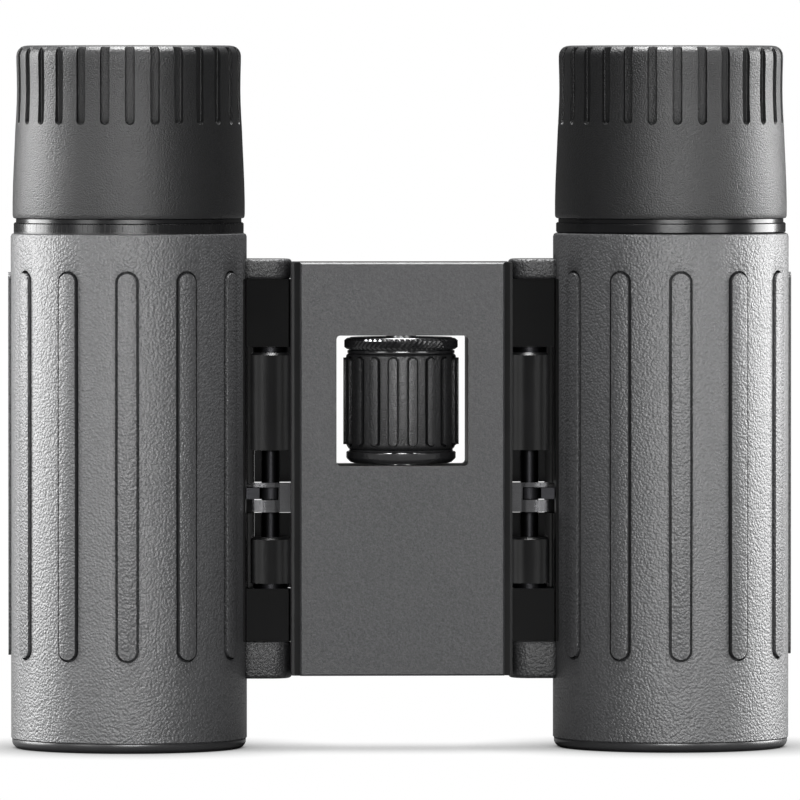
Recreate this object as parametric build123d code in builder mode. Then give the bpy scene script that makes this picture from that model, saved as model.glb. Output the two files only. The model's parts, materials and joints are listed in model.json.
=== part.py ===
from build123d import *
import os

# Compact folding 8x21 roof-prism binoculars, standing on their objective rings.
# +Z runs up the optical axes to the eyepieces, +X across the two barrels, and -Y is the front,
# where the bridge's cover plate and the focus wheel face. Both barrels are swung fully out.
# Every piece of the left barrel is modelled at its place; the right barrel is its mirror image.

os.makedirs("parts", exist_ok=True)

# ---- driving dimensions (mm) ----

eye_distance = 72.0        # between the optical axes, barrels swung fully out
hinge_spacing = 34.4       # between the two hinge axes
run_gap = 0.05             # radial clearance of a shaft or sleeve that turns or slides

# Heights above the plane that the objective rings stand on
ring_high = 1.25           # top of the visible objective ring, where the armour starts
nose_high = 5.2            # top of the objective ring's nose under the armour
bridge_low, bridge_high = 9.9, 64.5
window_low, window_high = 37.65, 54.85
armour_high = 68.3
band_high = 69.7           # top of the hard band between armour and eyecup
eyecup_low, eyecup_high = 70.25, 93.1

# Bridge, front to rear
plate_front = -9.1
plate_thickness = 0.8
frame_rear = 1.8
rear_cover_thickness = 0.7
bridge_width = 28.6
front_width = 29.2         # the frame's front half is a little wider and hides the gap beside the lugs
front_half = -1.0          # rear end of that wider part
plate_width = 27.0
frame_wall = 1.4
frame_bevel = 0.35         # along the frame's front corners
post_radius = 2.2          # screw posts inside the frame
cavity_width = 25.2
window_width = 17.4
window_corner = 0.5
tunnel_width = 19.8        # outside of the walled window
tunnel_wall = 1.45         # floor and ceiling of the walled window

# Barrel radii
armour_radius = 15.65
tube_radius = 14.6
tube_bore = 13.4
pad_radius = 16.0
pad_width = 2.5
pad_low, pad_high = 12.3, 63.1
pad_turn = -1.5            # the row of pads is turned this far from facing the front
band_radius = 15.25
guide_radius = 12.9        # sleeve that the eyecup climbs on
guide_bore = 12.0

# Hinges
pin_radius = 1.2
knuckle_radius = 2.65
lug_radius = 2.85
core_radius = 1.95         # bracket end inside its rubber cap
recess_radius = 3.15       # round recess in the bridge's side for the lugs
lower_lug = (14.1, 21.1)
upper_lug = (53.2, 62.2)
lower_cap = (9.2, 14.1)
upper_cap = (62.2, 64.9)
lower_knuckle = (21.8, 27.95)
upper_knuckle = (39.5, 52.45)
knuckle_rounding = 0.35
spine = (1.25, 1.75)       # front and rear of the strip that closes the gap behind the knuckles
link_front = -0.6          # front of the webs that join the knuckles to the frame
spine_reach = 2.1          # how far the spine reaches past the hinge axis
spine_tip = 1.5            # front of the spine's ends, which pass behind the washers
washer_radius = 2.3
washer_play = 0.05
cap_wall = 0.9
pin_head = 0.8

# Focus drive
wheel_y = -3.7
wheel_radius = 7.65
screw_radius = 2.0
nut_radius = 3.0
focus_near, focus_far = -1.7, 0.3     # travel of the objectives from rest
fork_low, fork_high = 31.3, 35.2
fork_slot = (32.9, 34.6)
fork_front, fork_back = -2.85, -1.3
fork_lip = -2.35           # back of the fork's thin front lip
lip_end, slot_end = -16.2, -14.6      # closed ends of the lip and of the slot behind it
arm_front = -2.6           # front of the fork's arm
fork_root = 9.5            # end of the fork's arm in the carriage
tongue_low, tongue_high = 33.0, 34.5
tongue_width = 3.2
eye_radius = 2.2           # round end of the tongue about the hinge pin

# Optics
objective_rim = 11.0
recess_bore = 11.7         # open recess in front of each objective
recess_depth = 4.5
prism_width = 13.0
field_rim = 8.0
eye_rim = 7.6

# ---- derived places ----

barrel_x = eye_distance / 2
hinge_x = hinge_spacing / 2
left_barrel = (-barrel_x, 0)
left_hinge = (-hinge_x, 0)
both_hinges = [(-hinge_x, 0), (hinge_x, 0)]
frame_front = plate_front + plate_thickness
web_root = bridge_width / 2 - 0.4      # where the knuckles' webs start in the frame's side
bridge_height = bridge_high - bridge_low
bridge_middle = (bridge_low + bridge_high) / 2
window_height = window_high - window_low
window_middle = (window_low + window_high) / 2
rear_face = frame_rear + rear_cover_thickness
wheel_centre = (0, wheel_y)
screw_places = [(x, z) for x in (-10.9, 10.9) for z in (bridge_low + 4, bridge_high - 4)]
peg_places = [(x, z) for x in (-7, 7) for z in (bridge_low + 6, bridge_high - 4)]


def turned(outline, centre, mode=Mode.ADD):
    """Turn a closed outline of (radius, height) points about the upright axis through centre."""
    with BuildSketch(Plane(origin=(*centre, 0), x_dir=(1, 0, 0), z_dir=(0, -1, 0))) as section:
        with BuildLine():
            Polyline(*outline, close=True)
        make_face()
    revolve(section.sketch, axis=Axis((*centre, 0), (0, 0, 1)), mode=mode)


def ring(inner, outer, low, high, centre, mode=Mode.ADD):
    """Turn a plain ring, or a disc when inner is 0."""
    turned([(inner, low), (outer, low), (outer, high), (inner, high)], centre, mode)


def lens(rim, low_edge, high_edge, low_bulge, high_bulge):
    """Turn a lens of the left barrel; each face bulges past its edge (a hollow face has less than 0)."""
    with BuildSketch(Plane(origin=(*left_barrel, 0), x_dir=(1, 0, 0), z_dir=(0, -1, 0))) as section:
        with BuildLine():
            Line((0, low_edge - low_bulge), (0, high_edge + high_bulge))
            TangentArc((0, high_edge + high_bulge), (rim, high_edge), tangent=(1, 0))
            Line((rim, high_edge), (rim, low_edge))
            TangentArc((0, low_edge - low_bulge), (rim, low_edge), tangent=(1, 0))
        make_face()
    revolve(section.sketch, axis=Axis((*left_barrel, 0), (0, 0, 1)))


def block(x_span, y_span, z_span, mode=Mode.ADD):
    """A block between two corners, given as its spans along X, Y and Z."""
    with BuildSketch(Plane.XY.offset(z_span[0])) as base:
        with Locations(((x_span[0] + x_span[1]) / 2, (y_span[0] + y_span[1]) / 2)):
            Rectangle(x_span[1] - x_span[0], y_span[1] - y_span[0])
    extrude(base.sketch, amount=z_span[1] - z_span[0], mode=mode)


def lug(radius, low, high, mode=Mode.ADD):
    """A lug that is round about the left hinge axis and runs straight on into the left barrel."""
    reach = barrel_x - hinge_x - tube_bore + 1
    with BuildSketch(Plane.XY.offset(low)) as outline:
        with Locations(left_hinge):
            Circle(radius)
        with Locations((-hinge_x - reach / 2, 0)):
            Rectangle(reach, 2 * radius)
    extrude(outline.sketch, amount=high - low, mode=mode)


def screw_group(head_radius, shank_radius, head_height, length):
    """Countersunk screws with slotted heads, driven forwards from the bridge's rear face."""
    rear = Plane.XZ.offset(-rear_face)
    with BuildSketch(rear) as heads:
        with Locations(*screw_places):
            Circle(head_radius)
    extrude(heads.sketch, amount=head_height, taper=45)
    with BuildSketch(rear) as shanks:
        with Locations(*screw_places):
            Circle(shank_radius)
    extrude(shanks.sketch, amount=length)
    with BuildSketch(rear) as slots:
        with Locations(*screw_places):
            Rectangle(2 * head_radius, 0.4)
    extrude(slots.sketch, amount=0.3, mode=Mode.SUBTRACT)


# ---- bridge ----

with BuildPart() as bridge_frame:
    with BuildSketch(Plane.XY.offset(bridge_low)) as outline:
        with Locations((0, (frame_front + front_half) / 2)):
            Rectangle(front_width, front_half - frame_front)
        chamfer(outline.vertices().group_by(Axis.Y)[0], frame_bevel)
        with Locations((0, (frame_front + 1 + frame_rear) / 2)):
            Rectangle(bridge_width, frame_rear - frame_front - 1)
    extrude(amount=bridge_height)
    # Round recesses along both sides, in which the barrels' lugs turn
    with BuildSketch(Plane.XY.offset(bridge_low)):
        with Locations(*both_hinges):
            Circle(recess_radius)
    extrude(amount=bridge_height, mode=Mode.SUBTRACT)
    # The inside is hollow from the rear, around the walled window and the screw posts
    with BuildSketch(Plane.XZ.offset(-frame_rear)):
        with Locations((0, bridge_middle)):
            Rectangle(cavity_width, bridge_height - 2 * frame_wall)
        with Locations((0, window_middle)):
            Rectangle(tunnel_width, window_height + 2 * tunnel_wall, mode=Mode.SUBTRACT)
        with Locations(*screw_places):
            Circle(post_radius, mode=Mode.SUBTRACT)
    extrude(amount=frame_rear - frame_front - frame_wall, mode=Mode.SUBTRACT)
    with BuildSketch(Plane.XZ.offset(-frame_rear)):
        with Locations((0, window_middle)):
            RectangleRounded(window_width, window_height, window_corner)
    extrude(amount=frame_rear - frame_front, mode=Mode.SUBTRACT)
    # Blind holes for the cover screws, and sockets for the front cover's pegs
    with BuildSketch(Plane.XZ.offset(-frame_rear)):
        with Locations(*screw_places):
            Circle(0.7)
    extrude(amount=4.6, mode=Mode.SUBTRACT)
    with BuildSketch(Plane.XZ.offset(-frame_front)):
        with Locations(*peg_places):
            Circle(0.8)
    extrude(amount=-1.0, mode=Mode.SUBTRACT)
    # Bearings of the focus screw in the window's floor and ceiling
    ring(0, screw_radius + run_gap, window_low - 2, window_high + 2, wheel_centre, Mode.SUBTRACT)
    for side in (-1, 1):
        # Knuckles on the pins, joined to the sides, with a thin spine that closes the gap behind
        for low, high in (lower_knuckle, upper_knuckle):
            turned([(0, low), (knuckle_radius, low), (knuckle_radius, high - knuckle_rounding),
                    (knuckle_radius - knuckle_rounding, high), (0, high)], (side * hinge_x, 0))
            web = sorted((side * web_root, side * hinge_x))
            block(web, (link_front, spine[1]), (low, high - knuckle_rounding))
        strip = sorted((side * web_root, side * (hinge_x + spine_reach)))
        block(strip, spine, (lower_knuckle[0], tongue_low + focus_near - 0.2))
        block(strip, spine, (tongue_high + focus_far + 0.4, upper_knuckle[1]))
        block(strip, (spine_tip, spine[1]), (lower_lug[1] + washer_play, lower_knuckle[0]))
        block(strip, (spine_tip, spine[1]), (upper_knuckle[1], upper_lug[0] - washer_play))
        ring(0, pin_radius, bridge_low, bridge_high, (side * hinge_x, 0), Mode.SUBTRACT)
        # Slots that the focus forks travel in
        side_wall = sorted((side * (cavity_width / 2 - 1), side * (front_width / 2 + 0.1)))
        block(side_wall, (fork_front - 0.2, fork_back + 0.2),
              (fork_low + focus_near - 0.2, fork_high + focus_far + 0.2), Mode.SUBTRACT)

with BuildPart() as front_cover:
    with BuildSketch(Plane.XZ.offset(-frame_front)):
        with Locations((0, bridge_middle)):
            Rectangle(plate_width, bridge_height)
        with Locations((0, window_middle)):
            RectangleRounded(window_width, window_height, window_corner, mode=Mode.SUBTRACT)
    extrude(amount=plate_thickness)
    front_face = front_cover.faces().sort_by(Axis.Y)[0]
    chamfer(front_face.outer_wire().edges(), 0.2)
    with BuildSketch(Plane.XZ.offset(-frame_front)):
        with Locations(*peg_places):
            Circle(0.8)
    extrude(amount=-0.95)

with BuildPart() as rear_cover:
    with BuildSketch(Plane.XZ.offset(-rear_face)):
        with Locations((0, bridge_middle)):
            RectangleRounded(plate_width + 0.8, bridge_height - 0.8, 1.0)
        with Locations((0, window_middle)):
            RectangleRounded(window_width, window_height, window_corner, mode=Mode.SUBTRACT)
    extrude(amount=rear_cover_thickness)
    with BuildSketch(Plane.XZ.offset(-rear_face)):
        with Locations(*screw_places):
            Circle(1.4)
    extrude(amount=rear_cover_thickness, taper=45, mode=Mode.SUBTRACT)

with BuildPart() as cover_screws:
    screw_group(head_radius=1.4, shank_radius=0.7, head_height=rear_cover_thickness, length=5.0)

with BuildPart() as hinge_washers:
    for side in (-1, 1):
        for low, high in ((lower_lug[1] + washer_play, lower_knuckle[0]),
                          (upper_knuckle[1], upper_lug[0] - washer_play)):
            ring(pin_radius, washer_radius, low, high, (side * hinge_x, 0))
            strip = sorted((side * web_root, side * (hinge_x + spine_reach)))
            block(strip, (spine_tip - run_gap, washer_radius), (low, high), Mode.SUBTRACT)

# ---- focus wheel, screw, carriage and forks ----

with BuildPart() as focus_wheel_core:
    turned([(screw_radius, 37.9), (6.5, 37.9), (7.25, 38.5), (7.25, 39.4), (6.9, 39.4), (6.9, 39.7),
            (6.4, 39.7), (6.4, 52.4), (7.1, 52.4), (7.1, 52.8), (7.45, 53.0), (7.45, 54.25),
            (7.15, 54.55), (screw_radius, 54.55)], wheel_centre)

with BuildPart() as focus_wheel_grip:
    turned([(6.4, 39.7), (6.9, 39.7), (7.3, 40.4), (7.3, 52.1), (7.0, 52.4), (6.4, 52.4)],
           wheel_centre)
    grip_pads = 18
    for index in range(grip_pads):
        angle = 360 * index / grip_pads
        facing = Plane(origin=(*wheel_centre, 46.1), x_dir=Vector(0, 0, 1),
                       z_dir=Vector(1, 0, 0).rotate(Axis.Z, angle))
        with BuildSketch(facing.offset(6.6)):
            SlotOverall(11.6, 1.07)
        extrude(amount=wheel_radius - 6.6)

with BuildPart() as focus_screw:
    turned([(0, 27.0), (1.6, 27.0), (screw_radius, 27.4), (screw_radius, 57.2), (1.6, 57.6), (0, 57.6)],
           wheel_centre)

with BuildPart() as focus_nut:
    ring(screw_radius + run_gap, nut_radius, 30.6, 35.5, wheel_centre)

with BuildPart() as focus_carriage:
    block((-12.3, 12.3), (-6.6, 1.5), (31.0, 35.5))
    ring(0, nut_radius, 31.0, 35.5, wheel_centre, Mode.SUBTRACT)
    for side in (-1, 1):
        pocket = sorted((side * 9.5, side * 13))
        block(pocket, (fork_front, fork_back), (fork_low, fork_high), Mode.SUBTRACT)
        lightening = sorted((side * 5.0, side * 8.5))
        block(lightening, (-5.4, 0.3), (31.0, 35.5), Mode.SUBTRACT)

# ---- left barrel: shell, armour and hinge ----

with BuildPart() as left_fork:
    with BuildSketch(Plane.XY.offset(fork_low)):
        with Locations(left_hinge):
            Circle(lug_radius)
        with Locations((-hinge_x, fork_back + lug_radius)):
            Rectangle(2 * lug_radius, 2 * lug_radius, mode=Mode.SUBTRACT)
        with Locations(((-hinge_x - fork_root) / 2, (arm_front + fork_back) / 2)):
            Rectangle(hinge_x - fork_root, fork_back - arm_front)
    extrude(amount=fork_high - fork_low)
    # The slot is open to the barrel; a thin lip closes its front sooner than its depth
    block((-hinge_x - lug_radius, lip_end), (fork_front, fork_back), fork_slot, Mode.SUBTRACT)
    block((-hinge_x - lug_radius, slot_end), (fork_lip, fork_back), fork_slot, Mode.SUBTRACT)

with BuildPart() as left_hinge_pin:
    ring(0, pin_radius, lower_cap[0] + 1.2, 63.4, left_hinge)
    ring(0, 1.9, lower_cap[0] + 0.4, lower_cap[0] + 1.2, left_hinge)
    block((-hinge_x - 3, -hinge_x + 3), (-0.25, 0.25), (lower_cap[0] + 0.4, lower_cap[0] + 0.7),
          Mode.SUBTRACT)

with BuildPart() as hinge_bracket:
    # Lugs with flat fronts, their ends inside the rubber caps, and a strip along the tube
    for low, high in (lower_lug, upper_lug):
        lug(lug_radius, low, high)
    block((-barrel_x, 0), (-5, -1.6), (lower_lug[0], upper_lug[1]), Mode.SUBTRACT)
    lug(core_radius, lower_cap[0] + 1.25, lower_lug[0])
    lug(core_radius, upper_lug[1], upper_cap[1] - cap_wall)
    with BuildSketch(Plane.XY.offset(lower_lug[0])):
        with Locations(left_barrel):
            Circle(armour_radius)
            Rectangle(3 * armour_radius, 2 * lug_radius, mode=Mode.INTERSECT)
        with Locations((-barrel_x - armour_radius, 0)):
            Rectangle(3 * armour_radius, 3 * lug_radius, mode=Mode.SUBTRACT)
    extrude(amount=upper_lug[1] - lower_lug[0])
    # A web beside the hinge closes the gap between the knuckles and the barrel
    with BuildSketch(Plane.XY.offset(lower_lug[1])):
        with Locations((-20.2, 1.5)):
            Rectangle(1.8, 2.2)
        with Locations(left_hinge):
            Circle(3.0, mode=Mode.SUBTRACT)
    extrude(amount=upper_lug[0] - lower_lug[1])
    ring(0, tube_radius, 0, eyecup_low, left_barrel, Mode.SUBTRACT)
    ring(0, pin_radius + run_gap, 0, 63.5, left_hinge, Mode.SUBTRACT)
    block((-barrel_x, -hinge_x + 1), (-1.85, 1.85),
          (tongue_low + focus_near - 0.3, tongue_high + focus_far + 0.3), Mode.SUBTRACT)

with BuildPart() as hinge_caps:
    for low, high in (lower_cap, upper_cap):
        lug(lug_radius, low, high)
    cap_tops = hinge_caps.faces().sort_by(Axis.Z)[-1]
    round_end = cap_tops.edges().filter_by(lambda edge: edge.center().X > -barrel_x + armour_radius + 0.6)
    fillet(round_end, 0.8)
    ring(0, armour_radius, 0, eyecup_low, left_barrel, Mode.SUBTRACT)
    lug(core_radius, lower_cap[0] + 1.25, lower_cap[1], Mode.SUBTRACT)
    lug(core_radius, upper_cap[0], upper_cap[1] - cap_wall, Mode.SUBTRACT)
    ring(0, 2.05, lower_cap[0], lower_cap[0] + 1.25, left_hinge, Mode.SUBTRACT)

with BuildPart() as armour:
    turned([(tube_radius, ring_high), (armour_radius, ring_high), (armour_radius, armour_high - 0.4),
            (armour_radius - 0.4, armour_high), (13.1, armour_high), (13.1, armour_high - 0.8),
            (tube_radius, armour_high - 0.8)], left_barrel)
    # Raised pads all round, except where the hinge is
    for index in range(11):
        angle = pad_turn + 30 * (index + 1)
        facing = Plane(origin=(*left_barrel, (pad_low + pad_high) / 2), x_dir=Vector(0, 0, 1),
                       z_dir=Vector(1, 0, 0).rotate(Axis.Z, angle))
        with BuildSketch(facing.offset(tube_radius + 0.4)):
            SlotOverall(pad_high - pad_low, pad_width)
        extrude(amount=pad_radius - tube_radius - 0.4)
    block((-barrel_x, -hinge_x), (-lug_radius, lug_radius), (lower_lug[0], upper_lug[1]), Mode.SUBTRACT)
    lug(core_radius, lower_cap[0] + 1.25, lower_lug[0], Mode.SUBTRACT)
    lug(core_radius, upper_lug[1], upper_cap[1] - cap_wall, Mode.SUBTRACT)

with BuildPart() as barrel_tube:
    top = armour_high - 0.8
    turned([(tube_bore, nose_high), (tube_radius, nose_high), (tube_radius, top), (guide_radius, top),
            (guide_radius, top - 3.9), (tube_bore, top - 3.9)], left_barrel)
    block((-barrel_x, -hinge_x), (-1.9, 1.9),
          (tongue_low + focus_near - 0.35, tongue_high + focus_far + 0.35), Mode.SUBTRACT)

with BuildPart() as objective_ring:
    turned([(recess_bore, 0), (14.9, 0), (15.5, 0.75), (15.5, ring_high), (tube_radius, ring_high),
            (tube_radius, nose_high), (tube_bore, nose_high), (tube_bore, 6.0), (11.2, 6.0),
            (11.2, recess_depth), (recess_bore, recess_depth)], left_barrel)

# ---- left barrel: objective cell, which slides with the focus ----

with BuildPart() as objective_cell:
    bore = tube_bore - run_gap
    turned([(11.6, 8.0), (bore, 8.0), (bore, 20.0), (10.5, 20.0), (10.5, 14.65), (objective_rim, 14.65),
            (objective_rim, 10.0), (11.6, 10.0)], left_barrel)
    block((11.9 - barrel_x, bore - barrel_x), (-2, 2), (12, 20), Mode.SUBTRACT)

with BuildPart() as objective_crown:
    lens(objective_rim, 10.0, 11.9, 1.2, 1.4)

with BuildPart() as objective_flint:
    lens(objective_rim, 11.9, 14.6, -1.4, 0.4)

with BuildPart() as objective_retainer:
    ring(10.5, 11.6, 8.6, 9.85, left_barrel)

with BuildPart() as focus_arm:
    block((11.9 - barrel_x, 13.1 - barrel_x), (-2, 2), (12, tongue_high))
    block((12.5 - barrel_x, -hinge_x), (-tongue_width / 2, tongue_width / 2), (tongue_low, tongue_high))
    ring(0, eye_radius, tongue_low, tongue_high, left_hinge)
    ring(0, pin_radius + run_gap, tongue_low, tongue_high, left_hinge, Mode.SUBTRACT)

# ---- left barrel: roof prism pair and its holder ----

with BuildPart() as prism_holder:
    ring(0, tube_bore, 37.5, 58.6, left_barrel)
    ring(0, 6.0, 37.5, 39.0, left_barrel, Mode.SUBTRACT)
    ring(0, 12.6, 57.5, 58.6, left_barrel, Mode.SUBTRACT)
    with BuildSketch(Plane.XY.offset(39.0)):
        with Locations(left_barrel):
            Circle(12.6)
            Rectangle(26, prism_width, mode=Mode.INTERSECT)
    extrude(amount=57.5 - 39.0, mode=Mode.SUBTRACT)

with BuildPart() as prism_clamp:
    ring(5.8, 12.6, 57.5, 58.6, left_barrel)

prism_plane = Plane(origin=(-barrel_x, 0, 0), x_dir=(1, 0, 0), z_dir=(0, -1, 0))

with BuildPart() as lower_prism:
    with BuildSketch(prism_plane):
        with BuildLine():
            Polyline((-6.5, 39.0), (6.5, 39.0), (9.0, 45.0), (-8.0, 53.0), close=True)
        make_face()
    extrude(amount=prism_width / 2, both=True)

with BuildPart() as upper_prism:
    with BuildSketch(prism_plane):
        with BuildLine():
            Polyline((9.0, 45.4), (-8.0, 53.4), (-6.5, 57.5), (6.5, 57.5), (10.6, 51.0), close=True)
        make_face()
    extrude(amount=prism_width / 2, both=True)

# ---- left eyepiece ----

guide_low, guide_step, guide_high = 61.5, 85.0, 87.6
sleeve_top = [(guide_radius, guide_step), (12.4, guide_step), (12.4, guide_high), (guide_bore, guide_high)]

with BuildPart() as left_eyepiece_base:
    # The hard band between armour and eyecup is one with the left sleeve
    turned([(guide_bore, guide_low), (guide_radius, guide_low), (guide_radius, 67.5), (13.1, 67.5),
            (13.1, armour_high), (band_radius, armour_high), (band_radius, band_high - 0.15),
            (band_radius - 0.15, band_high), (guide_radius, band_high), *sleeve_top], left_barrel)

with BuildPart() as ocular_cell:
    shell = guide_bore - 0.06
    turned([(field_rim, 61.6), (shell, 61.6), (shell, 84.0), (11.0, 84.0), (11.0, 81.5), (eye_rim, 81.5),
            (eye_rim, 76.0), (7.2, 76.0), (7.2, 65.6), (field_rim, 65.6)], left_barrel)

with BuildPart() as field_lens:
    lens(field_rim, 62.4, 65.0, 0.3, 1.6)

with BuildPart() as eye_lens:
    lens(eye_rim, 76.4, 80.0, 0.8, 1.3)

with BuildPart() as ocular_retainer:
    turned([(6.7, 80.35), (7.55, 80.35), (7.55, 81.5), (11.0, 81.5), (11.0, 84.2), (10.4, 84.2),
            (6.7, 81.9)], left_barrel)

with BuildPart() as eyecup_cam_ring:
    ring(12.4 + run_gap, guide_radius - run_gap, guide_step + 0.15, guide_high - 0.65, left_barrel)
    for side in (-1, 1):
        keys = sorted((side * 12.6, side * 13.4))
        block((-barrel_x - 1, -barrel_x + 1), keys, (guide_step + 0.15, guide_high - 0.65))

with BuildPart() as eyecup_core:
    turned([(guide_radius + run_gap, 70.3), (13.9, 70.3), (13.9, 91.6), (10.6, 91.6), (10.6, 90.4),
            (guide_radius + run_gap, 90.4)], left_barrel)
    block((-barrel_x - 1.1, -barrel_x + 1.1), (-13.45, 13.45), (79.9, 87.2), Mode.SUBTRACT)

with BuildPart() as eyecup:
    turned([(13.9, eyecup_low), (15.15, eyecup_low), (15.4, eyecup_low + 0.3), (15.38, 72.6),
            (15.07, 81.9), (14.85, 87.0), (14.92, 92.5), (14.5, eyecup_high), (11.2, eyecup_high),
            (10.6, 92.5), (10.6, 91.6), (13.9, 91.6)], left_barrel)
    # Grip flutes, open at the rim
    flutes = 28
    for index in range(flutes):
        angle = 360 * index / flutes - 90
        facing = Plane(origin=(*left_barrel, 88.5), x_dir=Vector(0, 0, 1),
                       z_dir=Vector(1, 0, 0).rotate(Axis.Z, angle))
        with BuildSketch(facing.offset(14.4)):
            SlotOverall(12.4, 1.2)
        extrude(amount=2, mode=Mode.SUBTRACT)

# ---- right eyepiece: a turning ring takes the place of the fixed band ----

right_barrel = (barrel_x, 0)

with BuildPart() as right_eyepiece_base:
    turned([(guide_bore, guide_low), (guide_radius, guide_low), (guide_radius, 67.5), (13.1, 67.5),
            (13.1, armour_high), (guide_radius, armour_high), (guide_radius, band_high + 0.05),
            (14.2, band_high + 0.05), (14.2, band_high + 0.3), (guide_radius, band_high + 0.3),
            *sleeve_top], right_barrel)

with BuildPart() as diopter_ring:
    turned([(guide_radius + run_gap, armour_high + 0.05), (band_radius, armour_high + 0.05),
            (band_radius, band_high - 0.15), (band_radius - 0.15, band_high),
            (guide_radius + run_gap, band_high)], right_barrel)

# ---- writing ----

single_pieces = {
    "bridge_frame": bridge_frame,
    "bridge_front_cover": front_cover,
    "bridge_rear_cover": rear_cover,
    "cover_screws": cover_screws,
    "hinge_washers": hinge_washers,
    "focus_wheel_core": focus_wheel_core,
    "focus_wheel_grip": focus_wheel_grip,
    "focus_screw": focus_screw,
    "focus_nut": focus_nut,
    "focus_carriage": focus_carriage,
    "left_eyepiece_base": left_eyepiece_base,
    "right_eyepiece_base": right_eyepiece_base,
    "diopter_ring": diopter_ring,
}
paired_pieces = {
    "focus_fork": left_fork,
    "hinge_pin": left_hinge_pin,
    "hinge_bracket": hinge_bracket,
    "hinge_caps": hinge_caps,
    "armour": armour,
    "barrel_tube": barrel_tube,
    "objective_ring": objective_ring,
    "objective_cell": objective_cell,
    "objective_crown_lens": objective_crown,
    "objective_flint_lens": objective_flint,
    "objective_retainer": objective_retainer,
    "focus_arm": focus_arm,
    "prism_holder": prism_holder,
    "prism_clamp": prism_clamp,
    "lower_prism": lower_prism,
    "upper_prism": upper_prism,
    "ocular_cell": ocular_cell,
    "field_lens": field_lens,
    "eye_lens": eye_lens,
    "ocular_retainer": ocular_retainer,
    "eyecup_cam_ring": eyecup_cam_ring,
    "eyecup_core": eyecup_core,
    "eyecup": eyecup,
}

for name, piece in single_pieces.items():
    piece.part.label = name
    export_step(piece.part, f"parts/{name}.step")

for name, piece in paired_pieces.items():
    piece.part.label = f"left_{name}"
    export_step(piece.part, f"parts/left_{name}.step")
    with BuildPart() as twin:
        mirror(piece.part, about=Plane.YZ)
    twin.part.label = f"right_{name}"
    export_step(twin.part, f"parts/right_{name}.step")
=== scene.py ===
"""Looks of a pair of compact folding binoculars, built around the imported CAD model.

Lengths are metres, in the CAD model's frame: +Z up the optical axes, +X across the barrels, -Y front.
Turned shapes are given as (radius, height) outlines about a barrel's or the wheel's upright axis.
"""
import json
import math

import bpy
from mathutils import Matrix, Vector

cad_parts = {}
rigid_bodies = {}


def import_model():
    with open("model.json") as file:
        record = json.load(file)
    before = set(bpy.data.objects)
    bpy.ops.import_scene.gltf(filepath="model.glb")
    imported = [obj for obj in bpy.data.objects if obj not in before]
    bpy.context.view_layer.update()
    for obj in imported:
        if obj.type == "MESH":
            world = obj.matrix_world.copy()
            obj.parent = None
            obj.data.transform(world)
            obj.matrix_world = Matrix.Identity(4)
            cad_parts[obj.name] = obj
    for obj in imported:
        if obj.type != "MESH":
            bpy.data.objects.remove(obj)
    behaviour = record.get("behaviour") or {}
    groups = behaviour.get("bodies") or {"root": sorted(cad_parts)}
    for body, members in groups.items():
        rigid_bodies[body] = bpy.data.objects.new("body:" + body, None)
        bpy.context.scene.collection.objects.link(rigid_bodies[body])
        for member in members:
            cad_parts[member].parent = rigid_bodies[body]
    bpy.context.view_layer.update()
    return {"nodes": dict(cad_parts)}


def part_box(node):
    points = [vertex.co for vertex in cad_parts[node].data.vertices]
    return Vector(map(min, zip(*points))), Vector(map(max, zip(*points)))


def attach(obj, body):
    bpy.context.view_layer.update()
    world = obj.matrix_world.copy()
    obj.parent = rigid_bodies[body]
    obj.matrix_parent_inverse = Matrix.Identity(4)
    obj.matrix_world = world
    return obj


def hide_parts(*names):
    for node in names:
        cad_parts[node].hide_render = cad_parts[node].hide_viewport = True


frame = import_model()

bl_info = {
    "name": "Folding binoculars",
    "version": (1, 0, 0),
    "blender": (4, 5, 0),
    "location": "View3D > Sidebar > Binoculars",
    "description": "Builds the armour, eyecups, focus wheel, bridge and lenses of folding binoculars",
    "category": "Object",
}

MM = 0.001
SIDES = ("left", "right")
ARMOUR_RADIUS = 15.65 * MM
NODES = frame["nodes"]


# ---- places that come from the CAD model ----

def centre_of(node):
    """The middle of a CAD node's box."""
    low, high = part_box(node)
    return (low + high) / 2


BARREL = centre_of("left_objective_ring")
HINGE = centre_of("left_hinge_pin")
WHEEL = centre_of("focus_wheel_core")


def span_z(node):
    """Lowest and highest point of a CAD node."""
    low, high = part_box(node)
    return low.z, high.z


def half_width(node):
    """Half of a CAD node's width across the barrels."""
    low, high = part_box(node)
    return (high.x - low.x) / 2


# ---- sizes and colours that a user may change ----

class ArmourSettings(bpy.types.PropertyGroup):
    """Rubber armour of the barrels and the hinge caps."""
    colour: bpy.props.FloatVectorProperty(
        name="Colour", description="Colour of the rubber", subtype="COLOR", size=3,
        default=(0.04, 0.0403, 0.042), min=0, max=1)
    grain: bpy.props.FloatProperty(
        name="Grain", description="Size of one bump of the grain", subtype="DISTANCE",
        unit="LENGTH", default=0.33 * MM, min=0.1 * MM, max=2 * MM)
    grain_depth: bpy.props.FloatProperty(
        name="Grain depth", description="Height of the grain", subtype="DISTANCE",
        unit="LENGTH", default=0.085 * MM, min=0, max=0.5 * MM)
    pad_width: bpy.props.FloatProperty(
        name="Pad width", description="Width of a raised grip pad", subtype="DISTANCE",
        unit="LENGTH", default=2.45 * MM, min=1 * MM, max=4 * MM)
    groove_width: bpy.props.FloatProperty(
        name="Groove width", description="Width of the groove round a pad", subtype="DISTANCE",
        unit="LENGTH", default=0.36 * MM, min=0.1 * MM, max=1 * MM)
    groove_depth: bpy.props.FloatProperty(
        name="Groove depth", description="Depth of the groove round a pad", subtype="DISTANCE",
        unit="LENGTH", default=0.55 * MM, min=0.05 * MM, max=0.7 * MM)
    pad_turn: bpy.props.FloatProperty(
        name="Pad turn", description="How far the row of pads is turned from facing the front",
        subtype="ANGLE", unit="ROTATION", default=math.radians(-1.5))


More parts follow.
